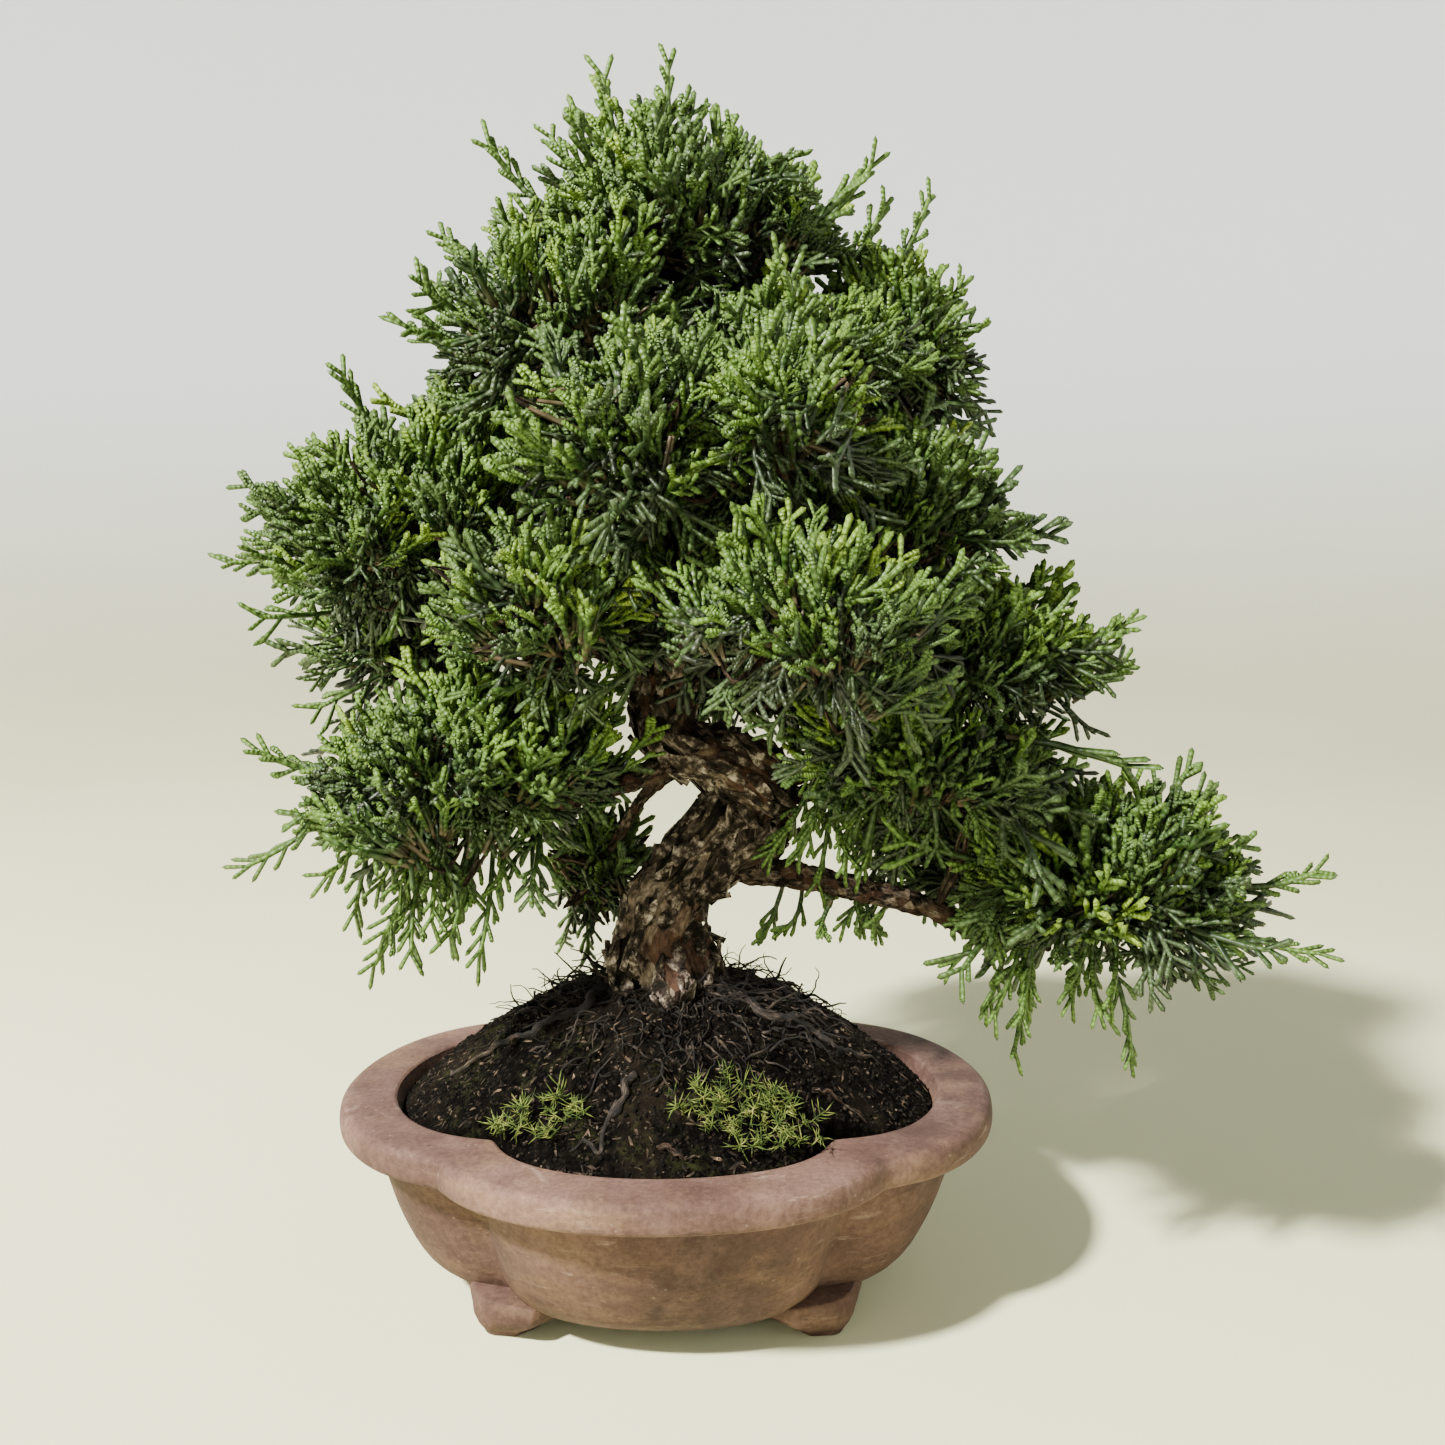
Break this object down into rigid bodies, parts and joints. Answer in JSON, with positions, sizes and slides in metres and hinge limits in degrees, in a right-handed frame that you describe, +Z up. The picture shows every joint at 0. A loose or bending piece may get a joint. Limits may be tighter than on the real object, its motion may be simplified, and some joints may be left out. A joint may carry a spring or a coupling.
{
  "type": "bonsai tree in a pot",
  "caption": "Juniper bonsai with a bent trunk and scale-leaf foliage pads, growing from a mound of soil in a four-lobed oval clay pot on feet.",
  "frame": {"origin": "centre of the bounding box's bottom face, on the surface that the pot stands on", "axes": "+X to the tree's right along the pot's long side, -Y to the front, +Z up"},
  "size_m": [0.2776, 0.1968, 0.3292],
  "materials": {
    "clay": "unglazed, matt",
    "plastic_mesh": "matt",
    "wire": "annealed, dull",
    "soil": "dark, crumbly",
    "moss": "dry, matt",
    "bark": "rough, flaking",
    "root": "dull",
    "foliage": "matt"
  },
  "bodies": {
    "root": {"bark_sliver": "bark", "branch_back_hanging": "bark", "branch_back_left": "bark", "branch_back_low": "bark", "branch_back_right": "bark", "branch_back_upper": "bark", "branch_centre_left": "bark", "branch_centre_right": "bark", "branch_centre_upper": "bark", "branch_far_right": "bark", "branch_front_centre": "bark", "branch_front_left": "bark", "branch_front_right": "bark", "branch_left_back": "bark", "branch_left_low": "bark", "branch_left_middle": "bark", "branch_left_shoulder": "bark", "branch_right_back_low": "bark", "branch_right_middle": "bark", "branch_upper_left": "bark", "branch_upper_right": "bark", "drain_screen_left": "plastic_mesh", "drain_screen_right": "plastic_mesh", "fallen_twig": "bark", "foliage_back_hanging": "foliage", "foliage_back_left": "foliage", "foliage_back_low": "foliage", "foliage_back_right": "foliage", "foliage_back_upper": "foliage", "foliage_centre": "foliage", "foliage_centre_left": "foliage", "foliage_centre_right": "foliage", "foliage_centre_upper": "foliage", "foliage_crown": "foliage", "foliage_far_right": "foliage", "foliage_front_centre": "foliage", "foliage_front_left": "foliage", "foliage_front_right": "foliage", "foliage_left_back": "foliage", "foliage_left_low": "foliage", "foliage_left_middle": "foliage", "foliage_left_shoulder": "foliage", "foliage_right_back_low": "foliage", "foliage_right_low": "foliage", "foliage_right_middle": "foliage", "foliage_upper_left": "foliage", "foliage_upper_right": "foliage", "moss_tuft_left": "moss", "moss_tuft_right": "moss", "pot": "clay", "screen_clip_left": "wire", "screen_clip_right": "wire", "soil": "soil", "surface_root_front": "root", "surface_root_left": "root", "surface_root_right": "root", "surface_root_right_back": "root", "tie_down_wire": "wire", "trunk": "bark"}
  },
  "joints": []
}
